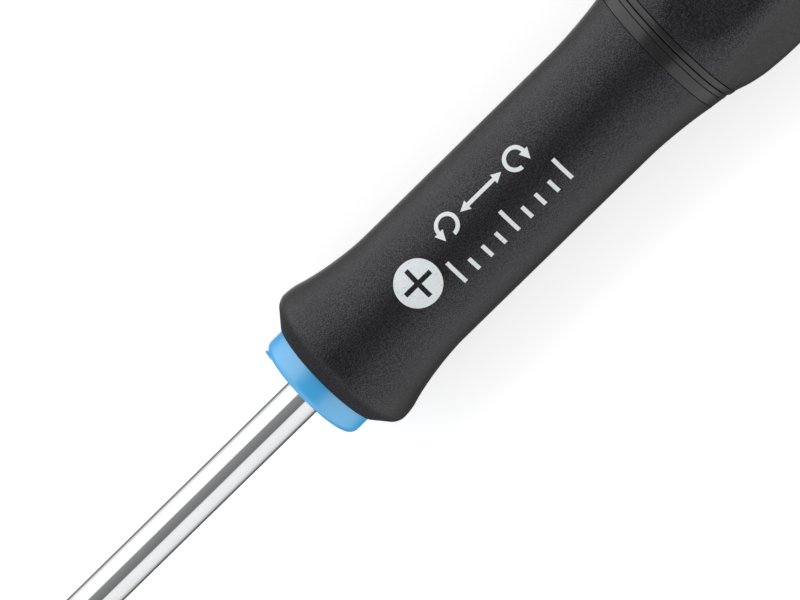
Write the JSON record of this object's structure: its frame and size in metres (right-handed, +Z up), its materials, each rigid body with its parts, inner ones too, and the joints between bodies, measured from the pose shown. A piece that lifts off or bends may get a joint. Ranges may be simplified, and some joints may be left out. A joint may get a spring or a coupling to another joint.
{
  "type": "watchmaker screwdriver",
  "caption": "Precision screwdriver with a size 0 cross tip on a long round blade, a waisted soft grip and a fingertip cap that spins freely on a ball bearing.",
  "frame": {"origin": "below the middle of the tool, on the surface that it lies on", "axes": "+X along the tool from the blade towards the cap, +Z up, with one flat of the cap facing down"},
  "size_m": [0.1456, 0.0184, 0.0167],
  "materials": {
    "blade_steel": "bright chrome plate",
    "ring_blue": "satin moulded plastic",
    "core_black": "smooth moulded plastic",
    "grip_black": "fine moulded grain",
    "cap_black": "fine moulded grain",
    "disc_black": "satin moulded plastic",
    "slide_grey": "smooth moulded plastic",
    "pin_steel": "turned",
    "bearing_steel": "ground and polished",
    "cage_brass": "stamped"
  },
  "bodies": {
    "handle": {"blade": "blade_steel", "id_ring": "ring_blue", "handle_core": "core_black", "grip_sleeve": "grip_black", "slide_ring": "slide_grey", "pivot_pin": "pin_steel", "lower_race": "bearing_steel", "thrust_washer": "pin_steel", "retaining_clip": "pin_steel"},
    "cap": {"cap_shell": "core_black", "cap_sleeve": "cap_black", "cap_disc": "disc_black", "upper_race": "bearing_steel"},
    "ball_train": {"ball_cage": "cage_brass", "ball_1": "bearing_steel", "ball_2": "bearing_steel", "ball_3": "bearing_steel", "ball_4": "bearing_steel", "ball_5": "bearing_steel", "ball_6": "bearing_steel", "ball_7": "bearing_steel"}
  },
  "joints": [
    {"name": "cap_spin", "type": "hinge", "parent": "handle", "child": "cap", "pos_m": [0.05178, 0, 0.00835], "axis": [1, 0, 0], "continuous": true},
    {"name": "cage_spin", "type": "hinge", "parent": "handle", "child": "ball_train", "pos_m": [0.05368, 0, 0.00835], "axis": [1, 0, 0], "continuous": true}
  ],
  "couplings": [
    {"joint": "cage_spin", "follows": "cap_spin", "ratio": 0.5}
  ]
}
